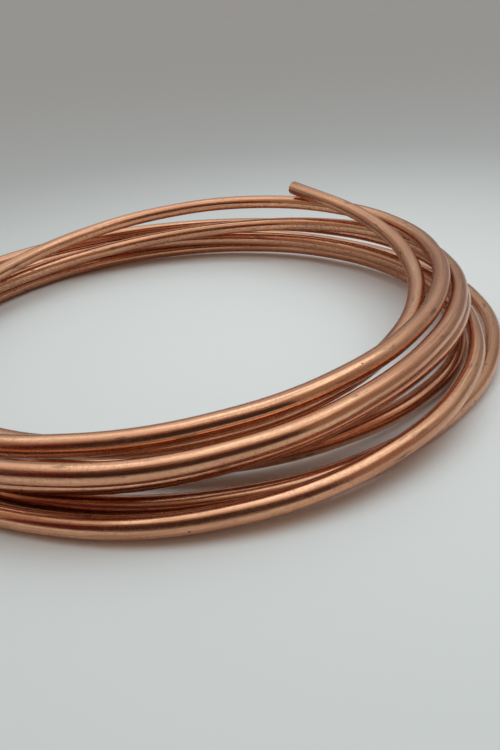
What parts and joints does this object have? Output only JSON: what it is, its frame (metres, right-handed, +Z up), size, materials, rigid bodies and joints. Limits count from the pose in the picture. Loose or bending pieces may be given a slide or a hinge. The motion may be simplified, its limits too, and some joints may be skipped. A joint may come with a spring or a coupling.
{
  "type": "copper tube coil",
  "caption": "Loose hand-opened coil of soft round copper tube lying flat, one end raised across the top turns",
  "frame": {"origin": "centre of the coil's footprint, on the floor it lies on", "axes": "+Z up through the coil's open middle, +Y toward the back where the free end crosses the top, +X to the right seen from the front"},
  "size_m": [0.3889, 0.4079, 0.0639],
  "materials": {
    "copper": "bright drawn copper, lightly tarnished and scuffed"
  },
  "bodies": {
    "root": {"copper_tube": "copper"}
  },
  "joints": []
}
